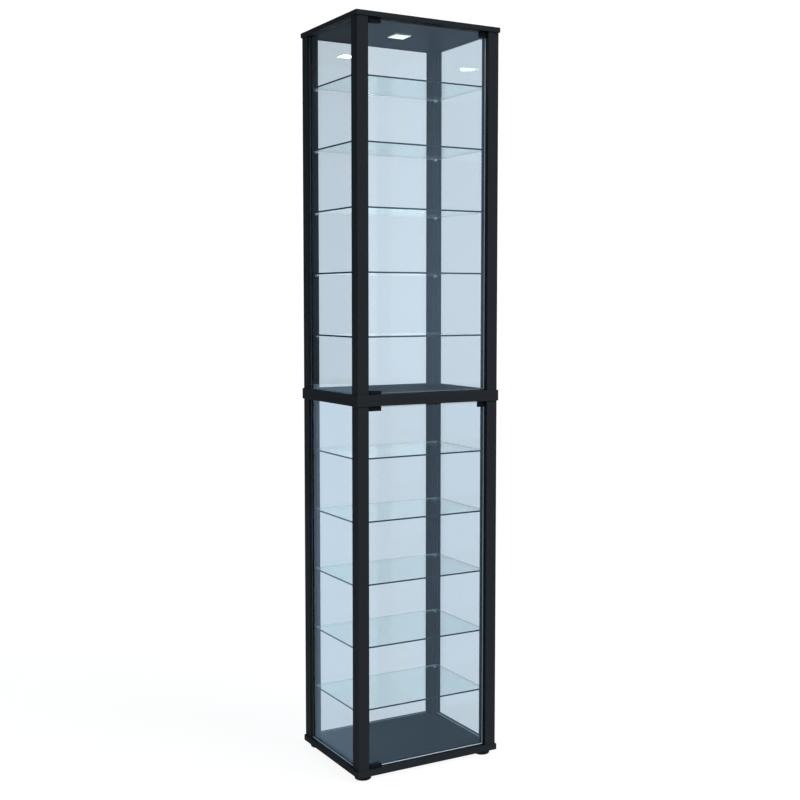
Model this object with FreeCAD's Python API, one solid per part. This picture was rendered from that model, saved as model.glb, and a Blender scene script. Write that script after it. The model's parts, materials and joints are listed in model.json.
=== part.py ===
import FreeCAD, Part
import math
import os

# A tall display case made of two glass cases, one standing on the other.
#
# Frame: millimetres, +Z up, origin on the floor under the middle of the footprint.
# The doors face -Y. +X is to the right of somebody who stands in front of the doors.
#
# Each case is a base board, four square posts, a top board, three fixed panes,
# five glass shelves on pins, and a glass door that turns on two pivots at its left
# edge. A sprung catch behind its top right corner lets it go when it is pushed.

V = FreeCAD.Vector
UP = V(0, 0, 1)
DOWN = V(0, 0, -1)

os.makedirs("parts", exist_ok=True)

# Cutting tools stand this far out of what they cut; lengths closer than TOLERANCE are equal.
CUT_MARGIN = 1.0
TOLERANCE = 1e-6

# ---------------------------------------------------------------- driving dimensions

# Boards and posts
BOARD_WIDTH = 400.0
BOARD_DEPTH = 304.0
BASE_THICKNESS = 15.0
TOP_THICKNESS = 12.0
CASE_HEIGHT = 909.0
OVERHANG = 3.0
POST_SIZE = 30.0
BOARD_EDGE_RADIUS = 0.8
POST_EDGE_RADIUS = 0.8

# Feet
FOOT_HEIGHT = 12.0
FOOT_RADIUS = 20.5
FOOT_EDGE_RADIUS = 3.5
FOOT_INSET = 28.0
FOOT_POCKET_RADIUS = 6.0
FOOT_POCKET_DEPTH = 7.0

# Glass
GLASS = 4.0
GLASS_ARRIS = 0.4
PANE_INSET = 6.5
GROOVE_DEPTH = 6.0
PANE_END_GAP = 1.0
PANE_FLOOR_GAP = 0.2
PANE_TOP_GAP = 1.0

# Shelves and their pins
SHELVES = 5
SHELF_PITCH = 154.0
SHELF_POST_GAP = 1.0
SHELF_PANE_GAP = 1.5
SHELF_CORNER_RADIUS = 2.0
PIN_INSET = 22.0
PIN_PEG_RADIUS = 2.0
PIN_PEG_LENGTH = 9.0
PIN_FLANGE_RADIUS = 3.2
PIN_FLANGE_LENGTH = 1.2
PIN_BARREL_RADIUS = 2.5
PIN_BARREL_LENGTH = 8.0
PIN_FLAT_HEIGHT = 1.6

# Doors
DOOR_RECESS = 9.0
DOOR_SIDE_GAP = 2.0
DOOR_END_GAP = 2.5
PIVOT_FROM_POST = 10.0

# Corner clamps of the doors
CLAMP_LENGTH = 34.0
CLAMP_HALF_THICKNESS = 6.5
CLAMP_WALL = 2.5
CLAMP_WEB = 1.5
CLAMP_NOSE_SHIFT = 1.5
CLAMP_TOP_HEIGHT = 11.0
CLAMP_BOTTOM_HEIGHT = 8.5
CLAMP_EDGE_RADIUS = 0.5
CLAMP_PAD_MARGIN = 2.0
CLAMP_PAD_SETBACK = 1.0
SET_SCREW_RADIUS = 2.0
SET_SCREW_PLACES = (13.0, 25.0)
SET_SCREW_SOCKET = 2.0
SET_SCREW_SOCKET_DEPTH = 1.3

# Pivots
PIVOT_RADIUS = 2.0
PIVOT_RUNNING_CLEARANCE = 0.05
PIVOT_REACH = 6.0
PIVOT_HEAD_RADIUS = 3.0
PIVOT_HEAD = 0.6
BUSH_RADIUS = 4.0
BUSH_DEPTH = 8.0
BUSH_BORE_DEPTH = 7.0
BUSH_FLANGE_RADIUS = 5.5
BUSH_FLANGE = 0.6

# Strike clip on the door and the catch behind it
STRIKE_WIDTH = 18.7
STRIKE_WALL = 1.5
STRIKE_WEB = 1.2
STRIKE_DROP = 15.0
CATCH_WIDTH = 9.0
CATCH_DEPTH = 12.0
CATCH_TOP_GAP = 1.0
CATCH_DROP = 14.5
CATCH_STANDOFF = 3.5
CATCH_EDGE_RADIUS = 0.6
PLUNGER_DROP = 10.0
PLUNGER_RADIUS = 2.5
PLUNGER_GAP = 0.4
PLUNGER_GUIDE_CLEARANCE = 0.08
PLUNGER_COLLAR_RADIUS = 2.9
PLUNGER_COLLAR = 1.0
PLUNGER_STEM_RADIUS = 1.4
PLUNGER_STEM = 3.0
CHAMBER_RADIUS = 3.3
CATCH_FRONT_WALL = 2.0
CATCH_BACK_WALL = 1.5
SPRING_RADIUS = 2.2
SPRING_WIRE_RADIUS = 0.25
SPRING_TURNS = 5
SPRING_END_GAP = 0.06
CATCH_SCREW_DROP = 4.0
CATCH_SCREW_BACK = 6.0
CATCH_SCREW_RADIUS = 1.5
CATCH_SCREW_HEAD_RADIUS = 2.7
CATCH_SCREW_HEAD = 1.4
CATCH_SCREW_LENGTH = 20.0

# Frame screws, foot screws and dowels
FRAME_SCREW_RADIUS = 2.5
FRAME_SCREW_HEAD_RADIUS = 5.0
FRAME_SCREW_HEAD = 2.8
FRAME_SCREW_LENGTH = 50.0
FRAME_SCREW_SOCKET = 4.0
FRAME_SCREW_SOCKET_DEPTH = 2.4
FOOT_SCREW_RADIUS = 2.0
FOOT_SCREW_HEAD_RADIUS = 4.0
FOOT_SCREW_HEAD = 2.6
FOOT_SCREW_GRIP = 10.0
DOWEL_RADIUS = 4.0
DOWEL_LOW_DEPTH = 8.0
DOWEL_HIGH_DEPTH = 10.0
DOWEL_X = 120.0
DOWEL_Y = 110.0

# Lamp in the ceiling of the upper case
LAMP_SIZE = 44.0
LAMP_HEIGHT = 3.4
LAMP_WALL = 1.0
LAMP_FACE = 0.8
LAMP_CORNER_RADIUS = 1.2
LAMP_BASE = 0.8
LED_BOARD_SIZE = 36.0
LED_BOARD = 0.9
LED_SIZE = 3.0
LED_HEIGHT = 0.5
LED_PITCH = 9.0
LED_ROWS = 4
CABLE_HOLE_RADIUS = 5.0
CABLE_BORE_RADIUS = 3.0
GROMMET_FLANGE_RADIUS = 8.0
GROMMET_FLANGE = 1.0

# ---------------------------------------------------------------- worked-out dimensions

HALF_WIDTH = BOARD_WIDTH / 2 - OVERHANG
HALF_DEPTH = BOARD_DEPTH / 2 - OVERHANG
POST_LENGTH = CASE_HEIGHT - BASE_THICKNESS - TOP_THICKNESS
INNER_X = HALF_WIDTH - POST_SIZE
INNER_Y = HALF_DEPTH - POST_SIZE
POST_MIDDLE_X = HALF_WIDTH - POST_SIZE / 2
POST_MIDDLE_Y = HALF_DEPTH - POST_SIZE / 2

DOOR_FRONT = -HALF_DEPTH + DOOR_RECESS
DOOR_BACK = DOOR_FRONT + GLASS
DOOR_MIDDLE = (DOOR_FRONT + DOOR_BACK) / 2
DOOR_LEFT = -INNER_X + DOOR_SIDE_GAP
DOOR_RIGHT = INNER_X - DOOR_SIDE_GAP
PIVOT_X = -INNER_X + PIVOT_FROM_POST

STRIKE_BACK = DOOR_BACK + STRIKE_WALL
CATCH_FRONT = STRIKE_BACK + CATCH_STANDOFF
CATCH_BACK = CATCH_FRONT + CATCH_DEPTH
CATCH_LEFT = INNER_X - CATCH_WIDTH
PLUNGER_X = INNER_X - CATCH_WIDTH / 2
PLUNGER_TIP = STRIKE_BACK + PLUNGER_GAP

# A case is its name, the underside of its base board, its floor and its ceiling.
CASES = []
for case_name, underside in (("lower", FOOT_HEIGHT), ("upper", FOOT_HEIGHT + CASE_HEIGHT)):
    floor = underside + BASE_THICKNESS
    CASES.append((case_name, underside, floor, floor + POST_LENGTH))

CORNERS = [(side, end) for side in (-1, 1) for end in (-1, 1)]

# ---------------------------------------------------------------- general shapes


def save(name, shape):
    """Write one node."""
    shape.exportStep("parts/" + name + ".step")


def block(x_ends, y_ends, z_ends):
    """A box between three pairs of coordinates, given in any order."""
    low = V(min(x_ends), min(y_ends), min(z_ends))
    high = V(max(x_ends), max(y_ends), max(z_ends))
    size = high - low
    return Part.makeBox(size.x, size.y, size.z, low)


def rod(start, direction, radius, length):
    """A round bar."""
    return Part.makeCylinder(radius, length, start, direction)


def hex_bar(start, direction, across_flats, length):
    """A six-sided bar."""
    corner = across_flats / math.sqrt(3)
    points = []
    for step in range(7):
        angle = math.radians(60 * step)
        points.append(V(corner * math.cos(angle), corner * math.sin(angle), 0))
    bar = Part.Face(Part.makePolygon(points)).extrude(V(0, 0, length))
    bar.Placement = FreeCAD.Placement(start, FreeCAD.Rotation(UP, direction))
    return bar


def edges_along(shape, axis):
    """The straight edges of a shape that run along an axis."""
    found = []
    for edge in shape.Edges:
        run = edge.Vertexes[-1].Point - edge.Vertexes[0].Point
        if run.Length > 0 and run.cross(axis).Length < TOLERANCE * run.Length:
            found.append(edge)
    return found


def edges_level(shape, heights):
    """The edges of a shape that lie wholly at one of the heights."""
    found = []
    for edge in shape.Edges:
        box = edge.BoundBox
        if any(abs(box.ZMin - z) < TOLERANCE and abs(box.ZMax - z) < TOLERANCE for z in heights):
            found.append(edge)
    return found


def countersunk(start, direction, radius, length, head_radius, head):
    """A screw with a conical head, its face at start."""
    cone = Part.makeCone(head_radius, radius, head, start, direction)
    return cone.fuse(rod(start, direction, radius, length)).removeSplitter()


# ---------------------------------------------------------------- fasteners


def frame_screw(side, end, height, direction):
    """A screw through a board into the end of a post, without its socket."""
    start = V(side * POST_MIDDLE_X, end * POST_MIDDLE_Y, height)
    return countersunk(start, direction, FRAME_SCREW_RADIUS, FRAME_SCREW_LENGTH,
                       FRAME_SCREW_HEAD_RADIUS, FRAME_SCREW_HEAD)


def frame_screw_starts(underside):
    """Where the screws of a case start, and which way they go."""
    return ((underside, UP), (underside + CASE_HEIGHT, DOWN))


def cut_frame_screws(shape, side, end, underside):
    """Cut the holes of the two screws at one corner of a case."""
    for height, direction in frame_screw_starts(underside):
        shape = shape.cut(frame_screw(side, end, height, direction))
    return shape


def dowels():
    """The dowels between the two boards in the middle, one at each corner."""
    joint = FOOT_HEIGHT + CASE_HEIGHT
    length = DOWEL_LOW_DEPTH + DOWEL_HIGH_DEPTH
    bars = []
    for side, end in CORNERS:
        start = V(side * DOWEL_X, end * DOWEL_Y, joint - DOWEL_LOW_DEPTH)
        bars.append(rod(start, UP, DOWEL_RADIUS, length))
    return bars


def foot_centre(side, end, height):
    """A point on the axis of a foot."""
    x = side * (BOARD_WIDTH / 2 - FOOT_INSET)
    y = end * (BOARD_DEPTH / 2 - FOOT_INSET)
    return V(x, y, height)


def foot_screw(side, end):
    """The screw that holds a foot, without its socket."""
    seat = foot_centre(side, end, FOOT_POCKET_DEPTH)
    length = FOOT_HEIGHT - FOOT_POCKET_DEPTH + FOOT_SCREW_GRIP
    head = rod(seat, DOWN, FOOT_SCREW_HEAD_RADIUS, FOOT_SCREW_HEAD)
    return head.fuse(rod(seat, UP, FOOT_SCREW_RADIUS, length)).removeSplitter()


def catch_screw(ceiling):
    """The screw that holds a catch to the right front post."""
    start = V(CATCH_LEFT, CATCH_FRONT + CATCH_SCREW_BACK, ceiling - CATCH_SCREW_DROP)
    return countersunk(start, V(1, 0, 0), CATCH_SCREW_RADIUS, CATCH_SCREW_LENGTH,
                       CATCH_SCREW_HEAD_RADIUS, CATCH_SCREW_HEAD)


# ---------------------------------------------------------------- boards and posts


def bush_blank(surface, into):
    """The outside of a pivot bush, whose flange lies on a board."""
    centre = V(PIVOT_X, DOOR_MIDDLE, surface)
    flange = rod(centre, into * -1, BUSH_FLANGE_RADIUS, BUSH_FLANGE)
    return rod(centre, into, BUSH_RADIUS, BUSH_DEPTH).fuse(flange).removeSplitter()


def plain_board(bottom, thickness):
    """A board with softened edges."""
    board = block((-BOARD_WIDTH / 2, BOARD_WIDTH / 2), (-BOARD_DEPTH / 2, BOARD_DEPTH / 2),
                  (bottom, bottom + thickness))
    return board.makeFillet(BOARD_EDGE_RADIUS, board.Edges)


def base_board(underside, floor):
    """A base board with the holes for its screws and the lower pivot bush."""
    board = plain_board(underside, BASE_THICKNESS)
    for side, end in CORNERS:
        board = board.cut(frame_screw(side, end, underside, UP))
        if underside == FOOT_HEIGHT:
            board = board.cut(foot_screw(side, end))
    for dowel in dowels():
        board = board.cut(dowel)
    return board.cut(bush_blank(floor, DOWN))


def top_board(ceiling):
    """A top board with the holes for its screws and the upper pivot bush."""
    top = ceiling + TOP_THICKNESS
    board = plain_board(ceiling, TOP_THICKNESS)
    for side, end in CORNERS:
        board = board.cut(frame_screw(side, end, top, DOWN))
    for dowel in dowels():
        board = board.cut(dowel)
    return board.cut(bush_blank(ceiling, UP))


def post(side, end, floor, underside):
    """A post with its pane grooves, pin holes and screw holes."""
    bar = block((side * INNER_X, side * HALF_WIDTH), (end * INNER_Y, end * HALF_DEPTH),
                (floor, floor + POST_LENGTH))
    bar = bar.makeFillet(POST_EDGE_RADIUS, edges_along(bar, UP))
    z_ends = (floor - CUT_MARGIN, floor + POST_LENGTH + CUT_MARGIN)
    pane_out = HALF_WIDTH - PANE_INSET
    bar = bar.cut(block((side * (pane_out - GLASS), side * pane_out),
                        (end * (INNER_Y - CUT_MARGIN), end * (INNER_Y + GROOVE_DEPTH)), z_ends))
    if end > 0:
        pane_back = HALF_DEPTH - PANE_INSET
        bar = bar.cut(block((side * (INNER_X - CUT_MARGIN), side * (INNER_X + GROOVE_DEPTH)),
                            (pane_back - GLASS, pane_back), z_ends))
    for number in range(1, SHELVES + 1):
        bar = bar.cut(pin_rod(side, end, shelf_bottom(underside, number),
                              PIN_PEG_RADIUS, -PIN_PEG_LENGTH))
    bar = cut_frame_screws(bar, side, end, underside)
    if side > 0 and end < 0:
        bar = bar.cut(catch_screw(floor + POST_LENGTH))
    return bar


def foot(side, end):
    """A round foot with a rounded lower edge and a pocket for its screw."""
    disc = rod(foot_centre(side, end, 0), UP, FOOT_RADIUS, FOOT_HEIGHT)
    rim = [edge for edge in edges_level(disc, (0,)) if len(edge.Vertexes) == 1]
    disc = disc.makeFillet(FOOT_EDGE_RADIUS, rim)
    pocket = rod(foot_centre(side, end, 0), UP, FOOT_POCKET_RADIUS, FOOT_POCKET_DEPTH)
    return disc.cut(pocket).cut(foot_screw(side, end))


# ---------------------------------------------------------------- glass and shelf pins


def glass_sheet(x_ends, y_ends, z_ends):
    """A sheet of glass with ground-off sharp edges."""
    sheet = block(x_ends, y_ends, z_ends)
    return sheet.makeChamfer(GLASS_ARRIS, sheet.Edges)


def side_pane(side, floor):
    """A side pane, held in grooves of a front and a rear post."""
    out = HALF_WIDTH - PANE_INSET
    reach = INNER_Y + GROOVE_DEPTH - PANE_END_GAP
    z_ends = (floor + PANE_FLOOR_GAP, floor + POST_LENGTH - PANE_TOP_GAP)
    return glass_sheet((side * (out - GLASS), side * out), (-reach, reach), z_ends)


def back_pane(floor):
    """The back pane, held in grooves of the two rear posts."""
    back = HALF_DEPTH - PANE_INSET
    reach = INNER_X + GROOVE_DEPTH - PANE_END_GAP
    z_ends = (floor + PANE_FLOOR_GAP, floor + POST_LENGTH - PANE_TOP_GAP)
    return glass_sheet((-reach, reach), (back - GLASS, back), z_ends)


def door_glass(floor, ceiling):
    """The glass of a door."""
    z_ends = (floor + DOOR_END_GAP, ceiling - DOOR_END_GAP)
    return glass_sheet((DOOR_LEFT, DOOR_RIGHT), (DOOR_FRONT, DOOR_BACK), z_ends)


def shelf_bottom(underside, number):
    """The height of the underside of a shelf, counted from one at the bottom."""
    return underside + SHELF_PITCH * number - GLASS


def shelf(bottom):
    """A glass shelf with rounded corners."""
    reach_x = HALF_WIDTH - PANE_INSET - GLASS - SHELF_PANE_GAP
    reach_y = INNER_Y - SHELF_POST_GAP
    sheet = block((-reach_x, reach_x), (-reach_y, reach_y), (bottom, bottom + GLASS))
    sheet = sheet.makeFillet(SHELF_CORNER_RADIUS, edges_along(sheet, UP))
    return sheet.makeChamfer(GLASS_ARRIS, edges_level(sheet, (bottom, bottom + GLASS)))


def pin_rod(side, end, shelf_underside, radius, length):
    """A bar on the axis of a shelf pin, out of the post, or into it if length is negative."""
    height = shelf_underside - PIN_FLAT_HEIGHT
    start = V(side * (HALF_WIDTH - PIN_INSET), end * INNER_Y, height)
    outward = V(0, -end, 0) if length > 0 else V(0, end, 0)
    return rod(start, outward, radius, abs(length))


def shelf_pin(side, end, shelf_underside):
    """A shelf pin: a peg, a flange, and a barrel with a flat for the shelf."""
    pin = pin_rod(side, end, shelf_underside, PIN_PEG_RADIUS, -PIN_PEG_LENGTH)
    pin = pin.fuse(pin_rod(side, end, shelf_underside, PIN_FLANGE_RADIUS, PIN_FLANGE_LENGTH))
    pin = pin.fuse(pin_rod(side, end, shelf_underside, PIN_BARREL_RADIUS, PIN_BARREL_LENGTH))
    x = side * (HALF_WIDTH - PIN_INSET)
    room = block((x - PIN_FLANGE_RADIUS, x + PIN_FLANGE_RADIUS),
                 (end * INNER_Y, end * (INNER_Y - PIN_BARREL_LENGTH - CUT_MARGIN)),
                 (shelf_underside, shelf_underside + PIN_FLANGE_RADIUS))
    return pin.cut(room).removeSplitter()


# ---------------------------------------------------------------- door hardware


def clamp(surface, inward, height):
    """A corner clamp: a channel along the end of the glass, round at its pivot."""
    web_outside = surface + inward.z * (DOOR_END_GAP - CLAMP_WEB)
    web_inside = surface + inward.z * DOOR_END_GAP
    open_end = web_outside + inward.z * height
    nose = V(PIVOT_X - CLAMP_NOSE_SHIFT, DOOR_MIDDLE, min(web_outside, open_end))
    right = DOOR_LEFT + CLAMP_LENGTH
    faces = (DOOR_MIDDLE - CLAMP_HALF_THICKNESS, DOOR_MIDDLE + CLAMP_HALF_THICKNESS)
    body = block((nose.x, right), faces, (web_outside, open_end))
    body = body.fuse(rod(nose, UP, CLAMP_HALF_THICKNESS, height)).removeSplitter()
    body = body.makeFillet(CLAMP_EDGE_RADIUS, edges_level(body, (web_outside, open_end)))
    slot = CLAMP_HALF_THICKNESS - CLAMP_WALL
    body = body.cut(block((nose.x - CLAMP_HALF_THICKNESS - CUT_MARGIN, right + CUT_MARGIN),
                          (DOOR_MIDDLE - slot, DOOR_MIDDLE + slot),
                          (web_inside, open_end + inward.z * CUT_MARGIN)))
    for screw in set_screws(surface, inward, height):
        body = body.cut(screw)
    return body.cut(pivot_pin(surface, inward))


def clamp_pads(surface, inward, height):
    """The two pads between a clamp and the glass."""
    slot = CLAMP_HALF_THICKNESS - CLAMP_WALL
    x_ends = (DOOR_LEFT + CLAMP_PAD_MARGIN, DOOR_LEFT + CLAMP_LENGTH - CLAMP_PAD_MARGIN)
    web_outside = surface + inward.z * (DOOR_END_GAP - CLAMP_WEB)
    open_end = web_outside + inward.z * (height - CLAMP_PAD_SETBACK)
    z_ends = (surface + inward.z * DOOR_END_GAP, open_end)
    front = block(x_ends, (DOOR_MIDDLE - slot, DOOR_FRONT), z_ends)
    back = block(x_ends, (DOOR_BACK, DOOR_MIDDLE + slot), z_ends)
    return [front, back]


def set_screws(surface, inward, height):
    """The set screws in the inner wall of a clamp, without their sockets."""
    web_inside = surface + inward.z * DOOR_END_GAP
    z = web_inside + inward.z * (height - CLAMP_WEB) / 2
    outside = DOOR_MIDDLE + CLAMP_HALF_THICKNESS
    bars = []
    for place in SET_SCREW_PLACES:
        start = V(DOOR_LEFT + place, outside, z)
        bars.append(rod(start, V(0, -1, 0), SET_SCREW_RADIUS, CLAMP_WALL))
    return bars


def pivot_pin(surface, inward):
    """A pivot pin, riveted flush in the web of a clamp."""
    seat = V(PIVOT_X, DOOR_MIDDLE, surface + inward.z * DOOR_END_GAP)
    outward = inward * -1
    head = rod(seat, outward, PIVOT_HEAD_RADIUS, PIVOT_HEAD)
    length = DOOR_END_GAP + PIVOT_REACH
    return head.fuse(rod(seat, outward, PIVOT_RADIUS, length)).removeSplitter()


def bush(surface, into):
    """A pivot bush with a blind bore."""
    bore_radius = PIVOT_RADIUS + PIVOT_RUNNING_CLEARANCE
    start = V(PIVOT_X, DOOR_MIDDLE, surface - into.z * BUSH_FLANGE)
    bore = rod(start, into, bore_radius, BUSH_BORE_DEPTH + BUSH_FLANGE)
    return bush_blank(surface, into).cut(bore)


def strike(ceiling):
    """The steel clip over the top right corner of the door glass."""
    x_ends = (DOOR_RIGHT - STRIKE_WIDTH, DOOR_RIGHT)
    glass_top = ceiling - DOOR_END_GAP
    body = block(x_ends, (DOOR_FRONT - STRIKE_WALL, STRIKE_BACK),
                 (ceiling - STRIKE_DROP, glass_top + STRIKE_WEB))
    body = body.makeFillet(CLAMP_EDGE_RADIUS, body.Edges)
    slot = block((x_ends[0] - CUT_MARGIN, x_ends[1] + CUT_MARGIN), (DOOR_FRONT, DOOR_BACK),
                 (ceiling - STRIKE_DROP - CUT_MARGIN, glass_top))
    return body.cut(slot)


def catch_body(ceiling):
    """The body of a push catch, with the chamber of its plunger."""
    body = block((CATCH_LEFT, INNER_X), (CATCH_FRONT, CATCH_BACK),
                 (ceiling - CATCH_DROP, ceiling - CATCH_TOP_GAP))
    body = body.makeFillet(CATCH_EDGE_RADIUS, edges_along(body, V(0, 1, 0)))
    axis = V(PLUNGER_X, CATCH_FRONT, ceiling - PLUNGER_DROP)
    back = V(0, 1, 0)
    guide = rod(axis, back, PLUNGER_RADIUS + PLUNGER_GUIDE_CLEARANCE, CATCH_FRONT_WALL + CUT_MARGIN)
    chamber = rod(axis + back * CATCH_FRONT_WALL, back, CHAMBER_RADIUS,
                  CATCH_DEPTH - CATCH_FRONT_WALL - CATCH_BACK_WALL)
    return body.cut(guide.fuse(chamber)).cut(catch_screw(ceiling))


def plunger(ceiling):
    """The plunger of a catch: a magnetic tip, a collar and a stem for the spring."""
    back = V(0, 1, 0)
    tip = V(PLUNGER_X, PLUNGER_TIP, ceiling - PLUNGER_DROP)
    collar_front = CATCH_FRONT + CATCH_FRONT_WALL + PLUNGER_GUIDE_CLEARANCE
    collar_place = V(tip.x, collar_front, tip.z)
    bar = rod(tip, back, PLUNGER_RADIUS, collar_front - PLUNGER_TIP)
    collar = rod(collar_place, back, PLUNGER_COLLAR_RADIUS, PLUNGER_COLLAR)
    stem = rod(collar_place, back, PLUNGER_STEM_RADIUS, PLUNGER_COLLAR + PLUNGER_STEM)
    return bar.fuse(collar).fuse(stem).removeSplitter()


def catch_spring(ceiling):
    """The coil spring between the collar of the plunger and the back of the chamber."""
    start_y = CATCH_FRONT + CATCH_FRONT_WALL + PLUNGER_GUIDE_CLEARANCE + PLUNGER_COLLAR
    start_y += SPRING_WIRE_RADIUS + SPRING_END_GAP
    end_y = CATCH_BACK - CATCH_BACK_WALL - SPRING_WIRE_RADIUS
    length = end_y - start_y
    path = Part.Wire(Part.makeHelix(length / SPRING_TURNS, length, SPRING_RADIUS).Edges)
    ring = Part.Circle(V(SPRING_RADIUS, 0, 0), V(0, 1, 0), SPRING_WIRE_RADIUS)
    coil = path.makePipeShell([Part.Wire([ring.toShape()])], True, True)
    place = V(PLUNGER_X, start_y, ceiling - PLUNGER_DROP)
    coil.Placement = FreeCAD.Placement(place, FreeCAD.Rotation(UP, V(0, 1, 0)))
    return coil


# ---------------------------------------------------------------- lamp


def rounded_square(size, bottom, top):
    """An upright square block with rounded corners on the middle axis."""
    half = size / 2
    body = block((-half, half), (-half, half), (bottom, top))
    return body.makeFillet(LAMP_CORNER_RADIUS * size / LAMP_SIZE, edges_along(body, UP))


def lamp_diffuser(ceiling):
    """The white cap that covers the lamp."""
    cap = rounded_square(LAMP_SIZE, ceiling - LAMP_HEIGHT, ceiling)
    cap = cap.makeFillet(LAMP_FACE / 2, edges_level(cap, (ceiling - LAMP_HEIGHT,)))
    inside = LAMP_SIZE - 2 * LAMP_WALL
    return cap.cut(rounded_square(inside, ceiling - LAMP_HEIGHT + LAMP_FACE, ceiling + CUT_MARGIN))


def lamp_base(ceiling):
    """The plate that holds the lamp to the ceiling."""
    plate = rounded_square(LAMP_SIZE - 2 * LAMP_WALL, ceiling - LAMP_BASE, ceiling)
    return plate.cut(rod(V(0, 0, ceiling - LAMP_BASE), UP, CABLE_BORE_RADIUS, LAMP_BASE))


def led_board(ceiling):
    """The circuit board of the lamp with its rows of diodes."""
    face = ceiling - LAMP_BASE - LED_BOARD
    half = LED_BOARD_SIZE / 2
    board = block((-half, half), (-half, half), (face, face + LED_BOARD))
    first = -LED_PITCH * (LED_ROWS - 1) / 2
    for row in range(LED_ROWS):
        for column in range(LED_ROWS):
            x = first + LED_PITCH * row
            y = first + LED_PITCH * column
            board = board.fuse(block((x - LED_SIZE / 2, x + LED_SIZE / 2),
                                     (y - LED_SIZE / 2, y + LED_SIZE / 2),
                                     (face - LED_HEIGHT, face)))
    return board.removeSplitter()


def grommet_blank(top):
    """The outside of the cable grommet, flush with the top of the board."""
    centre = V(0, 0, top)
    barrel = rod(centre, DOWN, CABLE_HOLE_RADIUS, TOP_THICKNESS)
    return barrel.fuse(rod(centre, DOWN, GROMMET_FLANGE_RADIUS, GROMMET_FLANGE)).removeSplitter()


def grommet(top):
    """The cable grommet."""
    return grommet_blank(top).cut(rod(V(0, 0, top), DOWN, CABLE_BORE_RADIUS, TOP_THICKNESS))


# ---------------------------------------------------------------- build every node

POST_NAMES = {(-1, -1): "front_left", (1, -1): "front_right",
              (-1, 1): "rear_left", (1, 1): "rear_right"}

frame_screws = []
bushes = []
catch_screws = []

for case_name, underside, floor, ceiling in CASES:
    save(case_name + "_base_board", base_board(underside, floor))
    top = top_board(ceiling)
    if case_name == "upper":
        top = top.cut(grommet_blank(ceiling + TOP_THICKNESS))
    save(case_name + "_top_board", top)
    for (side, end), place in POST_NAMES.items():
        save(case_name + "_post_" + place, post(side, end, floor, underside))
    save(case_name + "_left_pane", side_pane(-1, floor))
    save(case_name + "_right_pane", side_pane(1, floor))
    save(case_name + "_back_pane", back_pane(floor))

    pins = []
    for number in range(1, SHELVES + 1):
        bottom = shelf_bottom(underside, number)
        save(case_name + "_shelf_" + str(number), shelf(bottom))
        for side, end in CORNERS:
            pins.append(shelf_pin(side, end, bottom))
    save(case_name + "_shelf_pins", Part.makeCompound(pins))

    save(case_name + "_door_glass", door_glass(floor, ceiling))
    save(case_name + "_door_strike", strike(ceiling))
    pads = []
    sockets = []
    pivots = []
    for place, surface, inward, height in (("bottom", floor, UP, CLAMP_BOTTOM_HEIGHT),
                                           ("top", ceiling, DOWN, CLAMP_TOP_HEIGHT)):
        save(case_name + "_door_" + place + "_clamp", clamp(surface, inward, height))
        pads += clamp_pads(surface, inward, height)
        for screw in set_screws(surface, inward, height):
            face = screw.BoundBox
            start = V(face.Center.x, face.YMax, face.Center.z)
            socket = hex_bar(start, V(0, -1, 0), SET_SCREW_SOCKET, SET_SCREW_SOCKET_DEPTH)
            sockets.append(screw.cut(socket))
        pivots.append(pivot_pin(surface, inward))
        bushes.append(bush(surface, inward * -1))
    save(case_name + "_door_clamp_pads", Part.makeCompound(pads))
    save(case_name + "_door_clamp_screws", Part.makeCompound(sockets))
    save(case_name + "_door_pivot_pins", Part.makeCompound(pivots))

    save(case_name + "_catch_body", catch_body(ceiling))
    save(case_name + "_catch_plunger", plunger(ceiling))
    save(case_name + "_catch_spring", catch_spring(ceiling))
    catch_screws.append(catch_screw(ceiling))

    for height, direction in frame_screw_starts(underside):
        for side, end in CORNERS:
            start = V(side * POST_MIDDLE_X, end * POST_MIDDLE_Y, height)
            socket = hex_bar(start, direction, FRAME_SCREW_SOCKET, FRAME_SCREW_SOCKET_DEPTH)
            frame_screws.append(frame_screw(side, end, height, direction).cut(socket))

save("frame_screws", Part.makeCompound(frame_screws))
save("pivot_bushes", Part.makeCompound(bushes))
save("catch_screws", Part.makeCompound(catch_screws))
save("case_dowels", Part.makeCompound(dowels()))
save("feet", Part.makeCompound([foot(side, end) for side, end in CORNERS]))
save("foot_screws", Part.makeCompound([foot_screw(side, end) for side, end in CORNERS]))

lamp_ceiling = CASES[-1][3]
save("lamp_diffuser", lamp_diffuser(lamp_ceiling))
save("lamp_base_plate", lamp_base(lamp_ceiling))
save("lamp_led_board", led_board(lamp_ceiling))
save("cable_grommet", grommet(lamp_ceiling + TOP_THICKNESS))
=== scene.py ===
import json
import math

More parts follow.
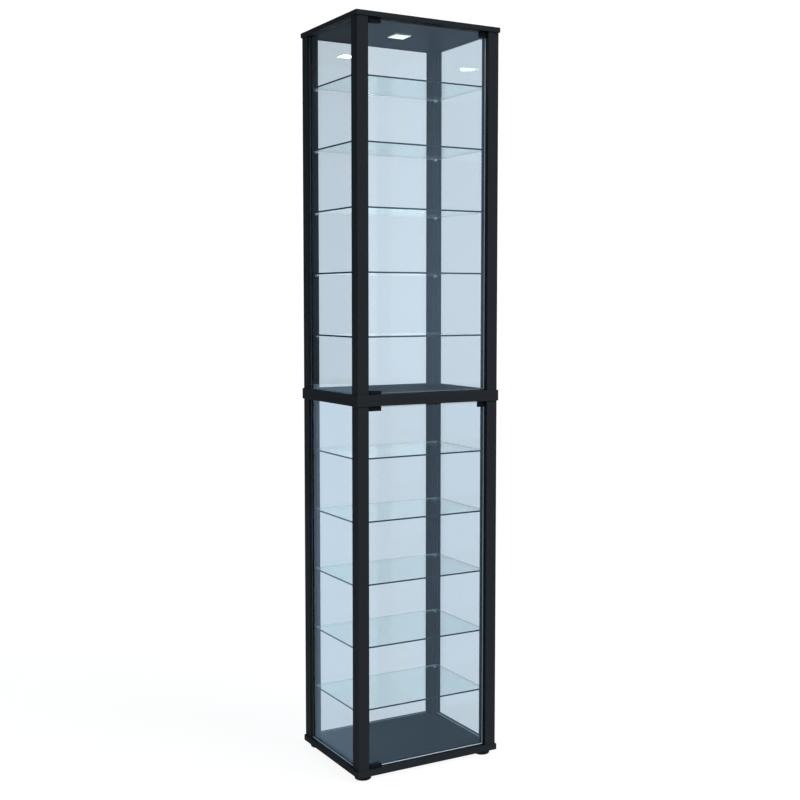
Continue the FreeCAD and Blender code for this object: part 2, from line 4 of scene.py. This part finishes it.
import bpy
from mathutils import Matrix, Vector


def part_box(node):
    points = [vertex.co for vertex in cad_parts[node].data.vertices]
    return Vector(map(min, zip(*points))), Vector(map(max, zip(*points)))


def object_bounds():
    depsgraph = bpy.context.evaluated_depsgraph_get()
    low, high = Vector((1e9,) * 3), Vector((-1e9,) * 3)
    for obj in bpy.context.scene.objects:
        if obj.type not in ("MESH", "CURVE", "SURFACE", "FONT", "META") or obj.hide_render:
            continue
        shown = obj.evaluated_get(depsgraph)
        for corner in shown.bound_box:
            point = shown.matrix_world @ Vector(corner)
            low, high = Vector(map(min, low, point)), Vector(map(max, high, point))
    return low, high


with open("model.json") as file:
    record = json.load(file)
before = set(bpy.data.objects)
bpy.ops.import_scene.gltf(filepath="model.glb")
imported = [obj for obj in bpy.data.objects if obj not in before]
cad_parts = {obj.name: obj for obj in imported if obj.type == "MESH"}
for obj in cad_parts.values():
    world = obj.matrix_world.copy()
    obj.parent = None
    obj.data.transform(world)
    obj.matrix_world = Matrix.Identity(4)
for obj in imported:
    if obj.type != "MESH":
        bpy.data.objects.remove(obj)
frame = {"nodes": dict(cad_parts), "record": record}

# A tall black display case made of two glass cases, one on the other, with a lit lamp
# in its ceiling. The frame gives every shape and place, in metres, front towards -Y.

cad_low, cad_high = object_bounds()

# ---------------------------------------------------------------- node tree helpers


def new_material(name):
    """An empty node material and its node tree."""
    material = bpy.data.materials.new(name)
    material.use_nodes = True
    material.node_tree.nodes.clear()
    return material, material.node_tree


def put(tree, kind, settings=None, **inputs):
    """Add a node, set its properties and its inputs.

    An input is named by its label, with _ for a space, or by i and its place in the list.
    Its value may be a number, a colour or another node's socket.
    """
    node = tree.nodes.new("ShaderNode" + kind)
    for key, value in (settings or {}).items():
        setattr(node, key, value)
    for key, value in inputs.items():
        place_in_list = key[1:]
        socket = node.inputs[int(place_in_list) if place_in_list.isdigit() else key.replace("_", " ")]
        if isinstance(value, bpy.types.NodeSocket):
            tree.links.new(value, socket)
        else:
            socket.default_value = value
    return node


def number(tree, operation, first, second=0.0, third=0.0, clamp=False):
    """A sum with numbers or sockets, as a socket."""
    settings = {"operation": operation, "use_clamp": clamp}
    return put(tree, "Math", settings, i0=first, i1=second, i2=third).outputs[0]


def spread(tree, value, low, high, from_low=0.0, from_high=1.0):
    """A value moved from one range to another, as a socket."""
    return put(tree, "MapRange", None, i0=value, i1=from_low, i2=from_high, i3=low, i4=high).outputs[0]


def blend(tree, share, first, second):
    """A mix of two colours, as a socket."""
    settings = {"data_type": "RGBA"}
    return put(tree, "Mix", settings, i0=share, i6=first, i7=second).outputs[2]


def place(tree):
    """The place on the object, which stays with a moving piece."""
    return put(tree, "TexCoord").outputs["Object"]


def stretched(tree, vector, scale):
    """A place scaled by a different number on each axis."""
    return put(tree, "Mapping", None, Vector=vector, Scale=scale).outputs[0]


def noise(tree, vector, scale, detail=2.0, roughness=0.5):
    """A soft random pattern between 0 and 1."""
    node = put(tree, "TexNoise", None, Vector=vector, Scale=scale, Detail=detail, Roughness=roughness)
    return node.outputs[0]


def bump(tree, height, distance, strength=1.0):
    """A bump from a height pattern."""
    return put(tree, "Bump", None, Height=height, Distance=distance, Strength=strength).outputs[0]


def finish_surface(tree, shader):
    """Lead a shader to the material's output."""
    put(tree, "OutputMaterial", None, Surface=shader)


def toned(colour, factor):
    """A colour made darker or lighter."""
    return tuple(factor * part for part in colour[:3]) + (1.0,)


def grey(level, blue):
    """A dark neutral colour, a little cooler if blue is above zero."""
    return (level * (1 - blue), level, level * (1 + blue), 1.0)


WHITE = (1.0, 1.0, 1.0, 1.0)

# The middle part of a noise pattern, where most of its values lie.
NOISE_LOW = 0.3
NOISE_HIGH = 0.7

# ---------------------------------------------------------------- opaque materials

MELAMINE_LOW = (0.0140, 0.0170, 0.0204, 1.0)
MELAMINE_HIGH = (0.0160, 0.0192, 0.0224, 1.0)
MELAMINE_GRAIN = 1500.0
MELAMINE_CLOUD = 9.0
MELAMINE_GRAIN_SHARE = 0.6
MELAMINE_ROUGHNESS = (0.46, 0.56)
MELAMINE_SPECULAR = 0.072
MELAMINE_BUMP = 0.000005
MELAMINE_BUMP_STRENGTH = 0.1


def melamine(name, along):
    """Satin black melamine: a fine pressed grain that runs along the board or post."""
    material, tree = new_material(name)
    where = place(tree)
    grain = noise(tree, stretched(tree, where, along), MELAMINE_GRAIN, 3.0, 0.6)
    cloud = noise(tree, where, MELAMINE_CLOUD, 3.0)
    cloud_share = number(tree, "MULTIPLY", cloud, 1.0 - MELAMINE_GRAIN_SHARE)
    share = number(tree, "MULTIPLY_ADD", grain, MELAMINE_GRAIN_SHARE, cloud_share)
    pattern = spread(tree, share, 0.0, 1.0, NOISE_LOW, NOISE_HIGH)
    colour = blend(tree, pattern, MELAMINE_LOW, MELAMINE_HIGH)
    gloss = spread(tree, cloud, *MELAMINE_ROUGHNESS, NOISE_LOW, NOISE_HIGH)
    shader = put(tree, "BsdfPrincipled", None, Base_Color=colour, Roughness=gloss,
                 Specular_IOR_Level=MELAMINE_SPECULAR,
                 Normal=bump(tree, grain, MELAMINE_BUMP, MELAMINE_BUMP_STRENGTH))
    finish_surface(tree, shader.outputs[0])
    return material


PAINT_MARKS = 60.0
PAINT_MARK_DEPTH = 0.15
PAINT_GLOSS_DEPTH = 0.06
PAINT_BUMP_STRENGTH = 0.6


def painted(name, level, roughness, peel, height, specular=0.35, blue=0.02):
    """Powder coat or moulded plastic: one dark colour with a fine orange peel."""
    material, tree = new_material(name)
    where = place(tree)
    skin = noise(tree, where, peel, 2.0, 0.55)
    marks = noise(tree, where, PAINT_MARKS, 3.0)
    dark = grey(level * (1.0 - PAINT_MARK_DEPTH), blue)
    light = grey(level * (1.0 + PAINT_MARK_DEPTH), blue)
    colour = blend(tree, marks, dark, light)
    gloss = spread(tree, marks, roughness - PAINT_GLOSS_DEPTH, roughness + PAINT_GLOSS_DEPTH,
                   NOISE_LOW, NOISE_HIGH)
    shader = put(tree, "BsdfPrincipled", None, Base_Color=colour, Roughness=gloss,
                 Specular_IOR_Level=specular,
                 Normal=bump(tree, skin, height, PAINT_BUMP_STRENGTH))
    finish_surface(tree, shader.outputs[0])
    return material


METAL_DULL = 300.0
METAL_LINE_SHADE = 0.8
METAL_ROUGHNESS_FACTORS = (0.8, 1.3)
METAL_BUMP = 0.00001
METAL_BUMP_STRENGTH = 0.4


def metal(name, colour, roughness, lines, along):
    """Plated or turned metal with fine drawn lines."""
    material, tree = new_material(name)
    where = place(tree)
    drawn = noise(tree, stretched(tree, where, along), lines, 2.0, 0.6)
    dull = noise(tree, where, METAL_DULL, 2.0)
    shade = blend(tree, drawn, toned(colour, METAL_LINE_SHADE), colour)
    smooth, rough = (roughness * factor for factor in METAL_ROUGHNESS_FACTORS)
    gloss = spread(tree, dull, smooth, rough, NOISE_LOW, NOISE_HIGH)
    shader = put(tree, "BsdfPrincipled", None, Base_Color=shade, Metallic=1.0, Roughness=gloss,
                 Normal=bump(tree, drawn, METAL_BUMP, METAL_BUMP_STRENGTH))
    finish_surface(tree, shader.outputs[0])
    return material


BEECH_DARK = (0.42, 0.27, 0.15, 1.0)
BEECH_PALE = (0.66, 0.48, 0.31, 1.0)
BEECH_FIBRES = 1500.0
BEECH_ALONG = (1.0, 1.0, 0.06)
BEECH_BUMP = 0.00005


def beech(name):
    """Pale dowel wood with fibres along its length."""
    material, tree = new_material(name)
    fibres = noise(tree, stretched(tree, place(tree), BEECH_ALONG), BEECH_FIBRES, 4.0, 0.6)
    colour = blend(tree, fibres, BEECH_DARK, BEECH_PALE)
    shader = put(tree, "BsdfPrincipled", None, Base_Color=colour, Roughness=0.7,
                 Normal=bump(tree, fibres, BEECH_BUMP, 0.6))
    finish_surface(tree, shader.outputs[0])
    return material


# The lamp lights the case, and shows in the glass, at its full strength. Seen directly it has
# a lower one, so that its cap keeps some detail.
LAMP_STRENGTH = 90.0
LAMP_LIGHT = (1.0, 0.84, 0.66, 1.0)
LAMP_SHOWN_STRENGTH = 1.15
LAMP_SHOWN_LIGHT = (0.93, 0.98, 1.0, 1.0)
LAMP_OPAL = (0.9, 0.92, 0.93, 1.0)
LAMP_RIM_START = 0.75
LAMP_RIM_SHARE = 0.8
LAMP_FROST = 900.0
LAMP_FROST_SHARES = (0.96, 1.04)
LAMP_FROST_BUMP = 0.00003

# The upward part of a face's normal: full light up to the first, none from the second on.
LAMP_FACE_DOWN = -0.9
LAMP_FACE_SIDE = -0.5


def lit_diffuser(name):
    """The opal cap of the lamp: its lower face is lit, a little weaker at the rim."""
    material, tree = new_material(name)
    low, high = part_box("lamp_diffuser")
    half = (high.x - low.x) / 2
    axes = put(tree, "SeparateXYZ", None, i0=place(tree))
    out_x = number(tree, "ABSOLUTE", axes.outputs[0])
    out_y = number(tree, "ABSOLUTE", axes.outputs[1])
    rim = number(tree, "DIVIDE", number(tree, "MAXIMUM", out_x, out_y), half)
    frost = noise(tree, place(tree), LAMP_FROST, 2.0)
    turned = put(tree, "SeparateXYZ", None, i0=put(tree, "TexCoord").outputs["Normal"])
    under = spread(tree, turned.outputs[2], 1.0, 0.0, LAMP_FACE_DOWN, LAMP_FACE_SIDE)
    centre = spread(tree, rim, 1.0, LAMP_RIM_SHARE, LAMP_RIM_START, 1.0)
    evenness = number(tree, "MULTIPLY", centre, under)
    evenness = number(tree, "MULTIPLY", evenness, spread(tree, frost, *LAMP_FROST_SHARES))
    sides = []
    for full, light in ((LAMP_STRENGTH, LAMP_LIGHT), (LAMP_SHOWN_STRENGTH, LAMP_SHOWN_LIGHT)):
        strength = number(tree, "MULTIPLY", evenness, full)
        shader = put(tree, "BsdfPrincipled", None, Base_Color=LAMP_OPAL, Roughness=0.4,
                     Emission_Color=light, Emission_Strength=strength,
                     Normal=bump(tree, frost, LAMP_FROST_BUMP, 0.5))
        sides.append(shader.outputs[0])
    seen = put(tree, "LightPath").outputs["Is Camera Ray"]
    both = put(tree, "MixShader", None, i0=seen, i1=sides[0], i2=sides[1])
    finish_surface(tree, both.outputs[0])
    return material


BOARD_WHITES = ((0.74, 0.76, 0.75, 1.0), (0.84, 0.86, 0.84, 1.0))
PHOSPHOR = (0.85, 0.68, 0.16, 1.0)
DIODE_FACE_DEPTH = 0.0002
BOARD_TEXTURE = 1200.0
BOARD_BUMP = 0.00002


def solder_mask(name):
    """The white board of the lamp, with the yellow phosphor of its diodes standing proud."""
    material, tree = new_material(name)
    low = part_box("lamp_led_board")[0]
    axes = put(tree, "SeparateXYZ", None, i0=place(tree))
    diode = number(tree, "LESS_THAN", axes.outputs[2], low.z + DIODE_FACE_DEPTH)
    fine = noise(tree, place(tree), BOARD_TEXTURE, 3.0)
    white = blend(tree, fine, *BOARD_WHITES)
    colour = blend(tree, diode, white, PHOSPHOR)
    shader = put(tree, "BsdfPrincipled", None, Base_Color=colour, Roughness=0.38,
                 Normal=bump(tree, fine, BOARD_BUMP, 0.5))
    finish_surface(tree, shader.outputs[0])
    return material


# ---------------------------------------------------------------- glass

# A ray that goes through a sheet meets two faces. Each face mirrors a share of the
# light that grows with the angle, and tints what it lets through.
HEAD_ON_MIRROR = 0.04
GRAZING_MIRROR = 1.0
SHELF_GRAZING_MIRROR = 0.75
MIRROR_POWER = 5.0
FILM_SCALE = 7.0
FILM_SHARES = (0.94, 1.06)

# A pane mirrors more of what another sheet has mirrored already, so that the lamp's second
# image shows clearly; the doors and the shelves mirror it like anything else.
PANE_SECOND_MIRROR = 3.0
PLAIN_SECOND_MIRROR = 1.0


def glass_face(name, through, mirrored, grazing, second):
    """The two large faces of a sheet of glass.

    through and mirrored tint the light, grazing is the share mirrored at a flat angle, and
    second multiplies the share for light that a mirror has sent here.
    """
    material, tree = new_material(name)
    facing = put(tree, "LayerWeight", None, Blend=0.5).outputs["Facing"]
    slope = number(tree, "POWER", facing, MIRROR_POWER)
    share = number(tree, "MULTIPLY_ADD", slope, grazing - HEAD_ON_MIRROR, HEAD_ON_MIRROR)
    film = noise(tree, place(tree), FILM_SCALE, 3.0)
    mirrored_before = put(tree, "LightPath").outputs["Is Glossy Ray"]
    film_share = spread(tree, film, *FILM_SHARES, NOISE_LOW, NOISE_HIGH)
    gain = number(tree, "MULTIPLY", film_share, spread(tree, mirrored_before, 1.0, second))
    share = number(tree, "MULTIPLY", share, gain, clamp=True)
    clear = put(tree, "BsdfTransparent", None, Color=through)
    bright = blend(tree, mirrored_before, mirrored, WHITE)
    mirror = put(tree, "BsdfGlossy", None, Color=bright, Roughness=0.0)
    both = put(tree, "MixShader", None, i0=share, i1=clear.outputs[0], i2=mirror.outputs[0])
    finish_surface(tree, both.outputs[0])
    return material


EDGE_DEEP = (0.004, 0.015, 0.022, 1.0)
# Painted light: the pale colour of the edges seen from inside, also the colour of their glow.
EDGE_PAINTED_LIGHT = (0.62, 0.74, 0.78, 1.0)
EDGE_DEEP_RIPPLE = 1.6
EDGE_PAINTED_LIGHT_RIPPLE = 0.85
EDGE_RIPPLE_SCALE = 220.0
EDGE_RIPPLE_STRETCH = (1.0, 1.0, 6.0)
EDGE_RIPPLE_BUMP = 0.00002

# The upward part of the normal, seen from inside: the upper end of a sheet lies under the
# first, the lower end over the second. The sides between them get a share of the painted glow.
EDGE_TOP_LIMIT = -0.5
EDGE_LOWER_END = 0.9
EDGE_SIDE_PAINTED_GLOW = 0.2


def glass_edge(name, painted_glow_strength, solid):
    """The narrow edges of a sheet.

    From outside they are deep green-blue. From inside they get a painted pale colour and a
    painted glow, which stand in for the light that the sheet carries down to its lower end, and
    they are partly see-through. piped is the strength of that painted glow, solid how much of
    what lies behind they hide.
    """
    material, tree = new_material(name)
    ripple = noise(tree, stretched(tree, place(tree), EDGE_RIPPLE_STRETCH), EDGE_RIPPLE_SCALE, 3.0)
    dark = blend(tree, ripple, EDGE_DEEP, toned(EDGE_DEEP, EDGE_DEEP_RIPPLE))
    light = blend(tree, ripple, EDGE_PAINTED_LIGHT, toned(EDGE_PAINTED_LIGHT, EDGE_PAINTED_LIGHT_RIPPLE))
    behind = put(tree, "NewGeometry").outputs["Backfacing"]
    axes = put(tree, "SeparateXYZ", None, i0=put(tree, "TexCoord").outputs["Normal"])
    # From inside the normal is turned round, so the lower end of a sheet has it pointing up
    # and the upper end, which gets no painted light, has it pointing down.
    not_top = number(tree, "GREATER_THAN", axes.outputs[2], EDGE_TOP_LIMIT)
    inside = number(tree, "MULTIPLY", behind, not_top)
    # Painted glow, strongest at the lower end, standing in for the light the sheet carries down.
    painted_glow_ramp = spread(tree, axes.outputs[2], painted_glow_strength * EDGE_SIDE_PAINTED_GLOW, painted_glow_strength, 0.0, EDGE_LOWER_END)
    glow = number(tree, "MULTIPLY", inside, painted_glow_ramp)
    shader = put(tree, "BsdfPrincipled", None, Base_Color=blend(tree, inside, dark, light),
                 Roughness=0.18, Specular_IOR_Level=0.4, Alpha=spread(tree, behind, 1.0, solid),
                 Emission_Color=EDGE_PAINTED_LIGHT, Emission_Strength=glow,
                 Normal=bump(tree, ripple, EDGE_RIPPLE_BUMP, 0.4))
    finish_surface(tree, shader.outputs[0])
    return material


LARGE_FACE_NORMAL = 0.9


def dress_glass(name, face_material, edge_material):
    """Give a sheet its two materials: one for its large faces, one for its edges."""
    sheet = frame["nodes"][name]
    low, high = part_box(name)
    size = high - low
    thin = min(range(3), key=lambda axis: size[axis])
    sheet.data.materials.clear()
    sheet.data.materials.append(face_material)
    sheet.data.materials.append(edge_material)
    for polygon in sheet.data.polygons:
        polygon.material_index = 0 if abs(polygon.normal[thin]) > LARGE_FACE_NORMAL else 1


# ---------------------------------------------------------------- dress every node

# How each pattern is stretched: a small number draws it out along that axis.
LEVEL_GRAIN = (0.12, 1.0, 1.0)
UPRIGHT_GRAIN = (1.0, 1.0, 0.12)
ROUND = (1.0, 1.0, 1.0)
DRAWN_ACROSS = (1.0, 0.1, 1.0)
TURNED = (1.0, 1.0, 0.15)

finishes = {
    "black_board": melamine("black_board", LEVEL_GRAIN),
    "black_post": melamine("black_post", UPRIGHT_GRAIN),
    "bright_pin": metal("bright_pin", (0.86, 0.88, 0.9, 1.0), 0.22, 3000.0, DRAWN_ACROSS),
    "black_metal": painted("black_metal", 0.008, 0.42, 1400.0, 0.00001, specular=0.06, blue=0.3),
    "black_plastic": painted("black_plastic", 0.012, 0.52, 2500.0, 0.00002),
    "magnet_tip": painted("magnet_tip", 0.10, 0.45, 1800.0, 0.00002),
    "spring_steel": metal("spring_steel", (0.62, 0.62, 0.6, 1.0), 0.25, 4000.0, DRAWN_ACROSS),
    "screw_steel": metal("screw_steel", (0.58, 0.59, 0.6, 1.0), 0.32, 2500.0, ROUND),
    "pivot_steel": metal("pivot_steel", (0.6, 0.6, 0.61, 1.0), 0.28, 3500.0, TURNED),
    "clamp_pad": painted("clamp_pad", 0.03, 0.8, 900.0, 0.00005),
    "bush_plastic": painted("bush_plastic", 0.03, 0.5, 1800.0, 0.00002),
    "dowel_wood": beech("dowel_wood"),
    "foot_plastic": painted("foot_plastic", 0.008, 0.6, 1100.0, 0.00004, specular=0.2),
    "lamp_glow": lit_diffuser("lamp_glow"),
    "lamp_plate": metal("lamp_plate", (0.8, 0.8, 0.81, 1.0), 0.35, 1800.0, DRAWN_ACROSS),
    "led_board": solder_mask("led_board"),
}

PANE_THROUGH = (0.873, 0.906, 0.928, 1.0)
SHELF_THROUGH = (0.934, 0.981, 0.975, 1.0)
PANE_MIRRORED = (0.50, 0.72, 0.97, 1.0)
SHELF_MIRRORED = (0.95, 0.98, 0.98, 1.0)

glasses = {
    "pane_glass": (
        glass_face("pane_glass", PANE_THROUGH, PANE_MIRRORED, GRAZING_MIRROR, PANE_SECOND_MIRROR),
        glass_edge("pane_glass_edge", painted_glow_strength=0.22, solid=0.5),
    ),
    "door_glass": (
        glass_face("door_glass", PANE_THROUGH, PANE_MIRRORED, GRAZING_MIRROR, PLAIN_SECOND_MIRROR),
        glass_edge("door_glass_edge", painted_glow_strength=0.9, solid=0.6),
    ),
    "shelf_glass": (
        glass_face("shelf_glass", SHELF_THROUGH, SHELF_MIRRORED, SHELF_GRAZING_MIRROR,
                   PLAIN_SECOND_MIRROR),
        glass_edge("shelf_glass_edge", painted_glow_strength=0.35, solid=0.4),
    ),
}

for part in frame["record"]["subparts"]:
    slot = part["material_slot"]
    if slot in glasses:
        dress_glass(part["node"], *glasses[slot])
    else:
        node = frame["nodes"][part["node"]]
        node.data.materials.clear()
        node.data.materials.append(finishes[slot])

# ---------------------------------------------------------------- floor, world, lights

FLOOR_RADIUS = 14.0
FLOOR_STEPS = 96
FLOOR_GREYS = ((0.095, 0.095, 0.095, 1.0), (0.105, 0.105, 0.105, 1.0))
FLOOR_SPECKLE = 3.0

# The floor gives off light, so that it looks nearly white and yet throws little at the case.
FLOOR_GLOW = 0.925
FLOOR_BOUNCE = 0.35


def make_floor():
    """A plain, nearly white studio floor."""
    ring = []
    for step in range(FLOOR_STEPS):
        angle = 2 * math.pi * step / FLOOR_STEPS
        ring.append((FLOOR_RADIUS * math.cos(angle), FLOOR_RADIUS * math.sin(angle), cad_low.z))
    mesh = bpy.data.meshes.new("floor")
    mesh.from_pydata(ring, [], [tuple(range(FLOOR_STEPS))])
    floor = bpy.data.objects.new("floor", mesh)
    bpy.context.scene.collection.objects.link(floor)
    material, tree = new_material("floor")
    speckle = noise(tree, place(tree), FLOOR_SPECKLE, 2.0)
    colour = blend(tree, speckle, *FLOOR_GREYS)
    path = put(tree, "LightPath")
    shown = number(tree, "MAXIMUM", path.outputs["Is Camera Ray"], path.outputs["Is Singular Ray"])
    glow = spread(tree, shown, FLOOR_BOUNCE, FLOOR_GLOW)
    shader = put(tree, "BsdfPrincipled", None, Base_Color=colour, Roughness=0.8,
                 Specular_IOR_Level=0.0, Emission_Color=WHITE, Emission_Strength=glow)
    finish_surface(tree, shader.outputs[0])
    mesh.materials.append(material)


# The room lights the case from its bright side, and from behind with a cooler, weaker light.
BRIGHT_SIDE = (0.50, -0.87, 0.0)
ROOM_STRENGTHS = (0.25, 0.60)
ROOM_SHADE = (0.62, 0.88, 1.15, 1.0)

# What the glass mirrors: dark on the left, bright on the right, brightest at the horizon.
MIRRORED_STRENGTHS = (0.06, 1.05)
MIRRORED_SPREAD = 0.5
HORIZON_GLOW = 0.55
HORIZON_REACH = 0.22

# What stands behind the case.
BACKDROP_STRENGTH = 1.05


def make_world():
    """A white studio, darker behind and to the left than in front of the doors."""
    world = bpy.data.worlds.new("studio")
    bpy.context.scene.world = world
    world.use_nodes = True
    tree = world.node_tree
    tree.nodes.clear()
    way = put(tree, "TexCoord").outputs["Generated"]
    dot = put(tree, "VectorMath", {"operation": "DOT_PRODUCT"}, i0=way, i1=BRIGHT_SIDE)
    towards = dot.outputs["Value"]
    room_share = spread(tree, towards, *ROOM_STRENGTHS, -1.0, 1.0)
    to_right = put(tree, "SeparateXYZ", None, i0=way).outputs[0]
    mirrored_share = spread(tree, to_right, *MIRRORED_STRENGTHS, -MIRRORED_SPREAD, MIRRORED_SPREAD)
    up = number(tree, "ABSOLUTE", put(tree, "SeparateXYZ", None, i0=way).outputs[2])
    horizon = spread(tree, up, HORIZON_GLOW, 0.0, 0.0, HORIZON_REACH)
    mirrored_share = number(tree, "MULTIPLY_ADD", mirrored_share, horizon, mirrored_share)
    path = put(tree, "LightPath")
    tint = blend(tree, spread(tree, towards, 0.0, 1.0, -1.0, 1.0), ROOM_SHADE, WHITE)
    lighting = put(tree, "Background", None, Color=tint, Strength=room_share)
    mirrored = put(tree, "Background", None, Color=WHITE, Strength=mirrored_share)
    room = put(tree, "MixShader", None, i0=path.outputs["Is Singular Ray"],
               i1=lighting.outputs[0], i2=mirrored.outputs[0])
    backdrop = put(tree, "Background", None, Color=WHITE, Strength=BACKDROP_STRENGTH)
    both = put(tree, "MixShader", None, i0=path.outputs["Is Camera Ray"],
               i1=room.outputs[0], i2=backdrop.outputs[0])
    put(tree, "OutputWorld", None, Surface=both.outputs[0])


KEY_TOWARDS = (-0.45, 0.66, -0.59)
KEY_ANGLE = 40.0
KEY_STRENGTH = 2.9


def make_key_light():
    """A broad light from the front right, kept out of the mirrors."""
    data = bpy.data.lights.new("key", "SUN")
    data.angle = math.radians(KEY_ANGLE)
    data.energy = KEY_STRENGTH
    sun = bpy.data.objects.new("key", data)
    bpy.context.scene.collection.objects.link(sun)
    sun.rotation_euler = Vector(KEY_TOWARDS).to_track_quat("-Z", "Y").to_euler()
    sun.visible_glossy = False


make_floor()
make_world()
make_key_light()

# ---------------------------------------------------------------- camera

CAMERA_AT = (-1.516, -2.680, 1.160)
CAMERA_YAW = 29.526
CAMERA_PITCH = -3.933
CAMERA_LENS = 54.696
CAMERA_SHIFT_Y = -0.02
CAMERA_SENSOR = 36.0
CAMERA_CLIP = (0.05, 60.0)


def make_camera():
    """The camera stands in front, to the left of the doors, and looks slightly down."""
    data = bpy.data.cameras.new("camera")
    data.lens = CAMERA_LENS
    data.sensor_width = CAMERA_SENSOR
    data.shift_y = CAMERA_SHIFT_Y
    data.clip_start, data.clip_end = CAMERA_CLIP
    camera = bpy.data.objects.new("camera", data)
    bpy.context.scene.collection.objects.link(camera)
    camera.location = CAMERA_AT
    camera.rotation_euler = (math.radians(90 + CAMERA_PITCH), 0.0, math.radians(-CAMERA_YAW))
    bpy.context.scene.camera = camera


make_camera()

# Light goes through many sheets of glass, and the lamp's images keep their full strength.
scene = bpy.context.scene
scene.view_settings.view_transform = "Standard"
scene.cycles.transparent_max_bounces = 48
scene.cycles.max_bounces = 16
scene.cycles.glossy_bounces = 8
scene.cycles.sample_clamp_indirect = 0.0
